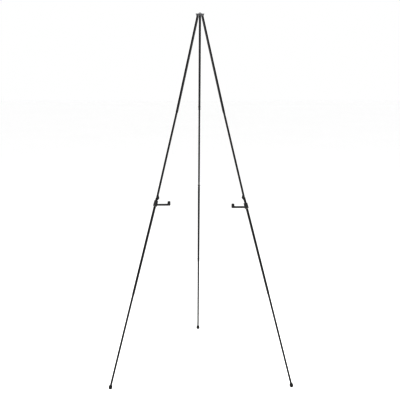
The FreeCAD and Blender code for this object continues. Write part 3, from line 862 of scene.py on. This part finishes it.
def dome_outline():
    """The rivet's section, from the dent in its upset end to the top of its dome."""
    under = -BRACKET_SHEET
    end = under - UPSET_TALL
    shank = SHANK_HOLE - 0.05
    dent = [(0.4, end + 0.7), (1.6, end + 0.1), (2.2, end)]
    upset = [(UPSET - 0.6, end)]
    upset += arc(UPSET - UPSET_EDGE, end + UPSET_EDGE, UPSET_EDGE, -90, 0, 4)
    upset += [(UPSET - 0.1, under - 0.25), (UPSET - 0.4, under)]
    rim = [(shank, under), (shank, COVER_THICK), (DOME - 0.2, COVER_THICK),
           (DOME, COVER_THICK + 0.2)]
    top = domed(DOME, COVER_THICK + DOME_RIM, COVER_THICK + DOME_TALL, 0.4, 14)
    return dent + upset + rim + top


bm = bmesh.new()
skin(bm, [round_loop(r, z, DOME_POINTS) for r, z in dome_outline()])
piece = settle(solid("head_centre_dome", bm), COVER_PLACE)
stand_for(piece, "centre_rivet", "head", gloss_enamel())

# Holder bushes: moulded in black nylon, with an oblong bore that slides on the third
# channel and a round bearing for the arm between a fluted collar and a retaining ring.
FLANGE = 2.6             # height of each collar
NECK = 3.8               # height of the neck between them
RETAINER = 2.0           # height of the seat for the retaining ring, at the foot
RING = 13.0              # height of the arm's ring
END_PLAY = 0.15
BEARING = 7.25           # radius of the bearing that the arm turns on
NECK_ROUND = 7.7         # radius of the neck
GROOVE_ROUND = 6.9       # radius of the retaining ring's seat
BORE_X = 4.3             # half the bore, on the channel's width and its depth
BORE_Y = 3.3
BORE_CORNER = 0.35
LEAD_IN = 0.45           # chamfer at each mouth of the bore
COLLAR_EDGE = 0.3        # broken edges of the collars
TOP_EDGE = 0.6           # and of the bush's upper end
FLUTES = 24
FLUTE_CUT = 0.25
BUSH_POINTS = 144
POCKET_WIDE = 3.05       # half the width of the spring's pocket
POCKET_TALL = 8.05       # half its height
POCKET_DEEP = 0.55

nylon = moulded("bush_black_nylon", 0.026, 0.5, 1200.0, 0.15, 0.35)


def holder_place(side):
    """A holder's frame on its leg: the middle of its bush, Z up the channel."""
    place = leg_place(side, 2)
    low, high = node_span(side + "_holder_bush", place)
    return place @ Matrix.Translation((low + high) / 2)


def bush_loops(half, collar):
    """The bush's loops, up its outside and down through its bore."""
    ring_top = -half + RETAINER + 2 * END_PLAY + RING
    neck_low = ring_top + FLANGE
    neck_high = neck_low + NECK
    edge = COLLAR_EDGE
    outline = [(GROOVE_ROUND - edge, -half, 0), (GROOVE_ROUND, edge - half, 0),
               (GROOVE_ROUND, RETAINER - half, 0), (BEARING, RETAINER - half, 0),
               (BEARING, ring_top, 0), (collar - edge, ring_top, 0),
               (collar, ring_top + edge, 0), (collar, neck_low - edge, 0),
               (collar - edge, neck_low, 0), (NECK_ROUND, neck_low, 0),
               (NECK_ROUND, neck_high, 0), (collar - 0.4, neck_high, 0),
               (collar, neck_high + 0.4, FLUTE_CUT), (collar, half - TOP_EDGE, FLUTE_CUT),
               (collar - TOP_EDGE, half, 0)]
    loops = [round_loop(r, z, BUSH_POINTS, FLUTES, cut) for r, z, cut in outline]
    for ease, z in ((LEAD_IN, half), (0.0, half - LEAD_IN), (0.0, LEAD_IN - half),
                    (LEAD_IN, -half)):
        loops.append(box_loop(BORE_X + ease, BORE_Y + ease, BORE_CORNER + ease, z,
                              BUSH_POINTS))
    return loops


for side in HOLDERS:
    place = holder_place(side)
    low, high = node_span(side + "_holder_bush", place)
    bm = bmesh.new()
    skin(bm, bush_loops(high.z, high.x), closed=True)
    bush = solid(side + "_slide_bush", bm)
    floor_y = -BORE_Y - POCKET_DEEP
    pocket = [(-POCKET_WIDE, floor_y), (POCKET_WIDE, floor_y), (POCKET_WIDE, 0.0),
              (-POCKET_WIDE, 0.0)]
    tool = cut_away(bush, side + "_spring_pocket",
                    [[Vector((x, y, z)) for x, y in pocket] for z in (-POCKET_TALL, POCKET_TALL)])
    piece = settle(bush, place, 40.0)
    bpy.data.objects.remove(tool)
    stand_for(piece, side + "_holder_bush", side + "_slider", nylon)

# Retaining rings and leaf springs: the ring is a snap ring of blued spring steel, split at
# the inner side of the leg; the leaf lies in the bush and presses on the channel's web.
SPLIT = 5.0              # half the ring's gap, degrees
RING_STEPS = 64
WIRE_POINTS = 16


def blued_steel():
    """Tempered spring steel: straw to blue oxide in bands, drawn lines, oil stains."""
    material, tree, shader, add = node_tree("spring_blued_steel")
    link = tree.links.new
    place = add("ShaderNodeTexCoord").outputs["Object"]
    drawn = add("ShaderNodeMapping", vector_type="POINT")
    drawn.inputs["Scale"].default_value = (1.0, 1.0, 0.04)
    link(place, drawn.inputs["Vector"])
    lines = add("ShaderNodeTexNoise", Scale=3200.0, Detail=3.0)
    oxide = add("ShaderNodeTexNoise", Scale=260.0, Detail=4.0)
    link(drawn.outputs["Vector"], lines.inputs["Vector"])
    link(place, oxide.inputs["Vector"])
    tone = add("ShaderNodeValToRGB")
    tone.color_ramp.elements[0].position = 0.3
    tone.color_ramp.elements[0].color = (0.09, 0.10, 0.13, 1)
    tone.color_ramp.elements[1].position = 0.75
    tone.color_ramp.elements[1].color = (0.33, 0.31, 0.27, 1)
    link(oxide.outputs["Fac"], tone.inputs["Fac"])
    link(tone.outputs["Color"], shader.inputs["Base Color"])
    sheen = add("ShaderNodeMapRange")
    sheen.inputs["To Min"].default_value = 0.22
    sheen.inputs["To Max"].default_value = 0.42
    link(lines.outputs["Fac"], sheen.inputs["Value"])
    link(sheen.outputs["Result"], shader.inputs["Roughness"])
    bump = add("ShaderNodeBump", Strength=0.2, Distance=0.00005)
    link(lines.outputs["Fac"], bump.inputs["Height"])
    link(bump.outputs["Normal"], shader.inputs["Normal"])
    shader.inputs["Metallic"].default_value = 1.0
    return material


spring_finish = blued_steel()

for side in HOLDERS:
    place = holder_place(side)
    low, high = node_span(side + "_holder_retainer", place)
    middle = Vector(((GROOVE_ROUND + high.x) / 2, 0.0, (low.z + high.z) / 2))
    wire = box_loop((high.x - GROOVE_ROUND) / 2 - 0.01, (high.z - low.z) / 2, 0.2, 0.0,
                    WIRE_POINTS)
    loops = []
    for i in range(RING_STEPS + 1):
        angle = math.radians(-90 + SPLIT + (360 - 2 * SPLIT) * i / RING_STEPS)
        swing = Matrix.Rotation(angle, 4, "Z")
        loops.append([swing @ (middle + Vector((p.x, 0.0, p.y))) for p in wire])
    bm = bmesh.new()
    skin(bm, loops)
    piece = settle(solid(side + "_snap_ring", bm), place)
    stand_for(piece, side + "_holder_retainer", side + "_slider", spring_finish)
    leaf = frame["nodes"][side + "_holder_spring"]
    leaf.data.materials.clear()
    leaf.data.materials.append(spring_finish)

# Holder arms: moulded black plastic, one piece each: a ring that turns on the bush, a
# level bar with a raised ledge that the picture stands on, and an upturned hook.
ARM_HALF = 3.5           # half the bar's thickness
ARM_REACH = 64.5         # leg centre to the end of the hook
ARM_LOW_TOP = 3.0        # top of the bar beside the ring, before the ledge
LEDGE_START = 14.0
LEDGE_HALF = 2.3         # half the ledge's width
LEDGE_EDGE = 0.25
HOOK_WIDE = 11.6
HOOK_FILLET = 3.2
HOOK_HEEL = 2.6          # outer rounding under the hook
ARM_EDGE = 1.2
CAP_TALL = 8.0
CAP_WALL = 0.9
SHOULDER = ARM_HALF + HOOK_FILLET             # the cap stands on this height of the hook
RING_BORE = 7.31         # radius of the ring's bore
RING_EDGE = 0.5
RING_POINTS = 64
HEEL_STEPS = 12
BORE_PAST = 3.0          # the borer runs on this far past each end of the ring
BAR_ROOT = 1.0           # the bar starts inside the ring
BAR_PLAIN = 40.0         # and is straight to here
ARM_POINTS = 48


def arm_place(side):
    """An arm's frame: on the leg's centre and the bar's middle, X towards the hook."""
    low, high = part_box(side + "_holder_tip")
    way = 1 if side == "left" else -1
    far = high.x if way > 0 else low.x
    top = (SHOULDER + CAP_TALL) * MM
    origin = Vector((far - way * ARM_REACH * MM, (low.y + high.y) / 2, high.z - top))
    return Matrix.Translation(origin) @ Matrix.Diagonal((way * MM, MM, MM, 1))


def section(centre, along, half_long, half_wide, corner):
    """A rounded rectangle across an arm: one side along a direction, the other along Y."""
    flat = box_loop(half_long, half_wide, corner, 0.0, ARM_POINTS)
    return [centre + along * p.x + Vector((0, p.y, 0)) for p in flat]


def bar_and_hook():
    """Loops along the bar, round the heel, and up the core that the cap goes over."""
    down = Vector((0, 0, -1))
    inner = ARM_REACH - HOOK_WIDE
    turn_x = inner - HOOK_FILLET
    loops = []
    for x in (BAR_ROOT, LEDGE_START, BAR_PLAIN):
        centre = Vector((x, 0, (ARM_LOW_TOP - ARM_HALF) / 2))
        loops.append(section(centre, down, (ARM_LOW_TOP + ARM_HALF) / 2, ARM_HALF, ARM_EDGE))
    pivot = Vector((turn_x, 0, SHOULDER))
    for i in range(HEEL_STEPS + 1):
        angle = math.radians(-90 + 90 * i / HEEL_STEPS)
        along = Vector((math.cos(angle), 0, math.sin(angle)))
        outer = to_edge(angle, ARM_REACH - turn_x, SHOULDER + ARM_HALF, HOOK_HEEL)
        centre = pivot + along * (outer + HOOK_FILLET) / 2
        loops.append(section(centre, along, (outer - HOOK_FILLET) / 2, ARM_HALF, ARM_EDGE))
    middle = ARM_REACH - HOOK_WIDE / 2
    for z in (SHOULDER, SHOULDER + CAP_TALL - CAP_WALL):
        centre = Vector((middle, 0, z))
        loops.append(section(centre, Vector((1, 0, 0)), HOOK_WIDE / 2 - CAP_WALL,
                             ARM_HALF - CAP_WALL, 0.5))
    return loops


def arm_ring(to_arm, low, high, outside):
    """The ring round the bush, seen in the arm's frame; its bore is cut out later."""
    outline = [(outside - RING_EDGE, low), (outside, low + RING_EDGE),
               (outside, high - RING_EDGE), (outside - RING_EDGE, high)]
    return [[to_arm @ point for point in round_loop(r, z, RING_POINTS)] for r, z in outline]


arm_plastic = moulded("arm_black_plastic", 0.03, 0.46, 900.0, 0.22, 0.4)

for side in HOLDERS:
    place = arm_place(side)
    bush_place = holder_place(side)
    bush_low, bush_high = node_span(side + "_holder_bush", bush_place)
    ring_low = bush_low.z + RETAINER + END_PLAY
    to_arm = place.inverted() @ bush_place
    bm = bmesh.new()
    skin(bm, bar_and_hook())
    skin(bm, arm_ring(to_arm, ring_low, ring_low + RING, bush_high.x))
    ledge_middle = (LEDGE_START + ARM_REACH - HOOK_WIDE) / 2
    ledge_long = (ARM_REACH - HOOK_WIDE - LEDGE_START) / 2
    ledge = []
    for z, ease in ((0.0, 0.0), (ARM_HALF - LEDGE_EDGE, 0.0), (ARM_HALF, LEDGE_EDGE)):
        flat = box_loop(ledge_long - ease, LEDGE_HALF - ease, 0.6, 0.0, ARM_POINTS)
        ledge.append([Vector((ledge_middle, 0, z)) + p for p in flat])
    skin(bm, ledge)
    arm = solid(side + "_moulded_arm", bm)
    flow_together(arm, 0.28, 0.3)
    bore = [[to_arm @ point for point in round_loop(RING_BORE, z, RING_POINTS)]
            for z in (ring_low - BORE_PAST, ring_low + RING + BORE_PAST)]
    tool = cut_away(arm, side + "_ring_bore", bore)
    piece = settle(arm, place, 50.0)
    bpy.data.objects.remove(tool)
    stand_for(piece, side + "_holder_arm", side + "_arm", arm_plastic)

# Hook caps: soft vinyl dipped over the hook's core, so that the frame of a picture isn't
# scratched. The dip leaves a crowned top and a bead round the open lower edge.
CAP_EDGE = 1.5
BEAD = 0.18              # the bead stands this far out from the cap's sides
cap_vinyl = moulded("cap_soft_vinyl", 0.021, 0.38, 500.0, 0.08, 0.15)


def cap_loops():
    """A cap's loops, over its outside from the top and up inside to its roof."""
    half_x = HOOK_WIDE / 2
    top = SHOULDER + CAP_TALL
    middle = Vector((ARM_REACH - half_x, 0, 0))
    rows = []
    for x, z in reversed(arc(-CAP_EDGE, top - CAP_EDGE, CAP_EDGE, 0, 84, 7)):
        rows.append((-x + BEAD, z))
    rows += [(BEAD, SHOULDER + 1.5), (0.08, SHOULDER + 1.1), (0.0, SHOULDER + 0.7),
             (0.0, SHOULDER + 0.3), (0.15, SHOULDER), (CAP_WALL - 0.1, SHOULDER),
             (CAP_WALL - 0.02, SHOULDER + 0.2), (CAP_WALL - 0.02, top - CAP_WALL + 0.02)]
    loops = []
    for inset, z in rows:
        corner = max(0.5, 1.5 - inset)
        flat = box_loop(half_x - inset, ARM_HALF - inset, corner, z, ARM_POINTS)
        loops.append([middle + p for p in flat])
    return loops


for side in HOLDERS:
    bm = bmesh.new()
    skin(bm, cap_loops())
    piece = settle(solid(side + "_hook_cap", bm), arm_place(side), 50.0)
    stand_for(piece, side + "_holder_tip", side + "_arm", cap_vinyl)
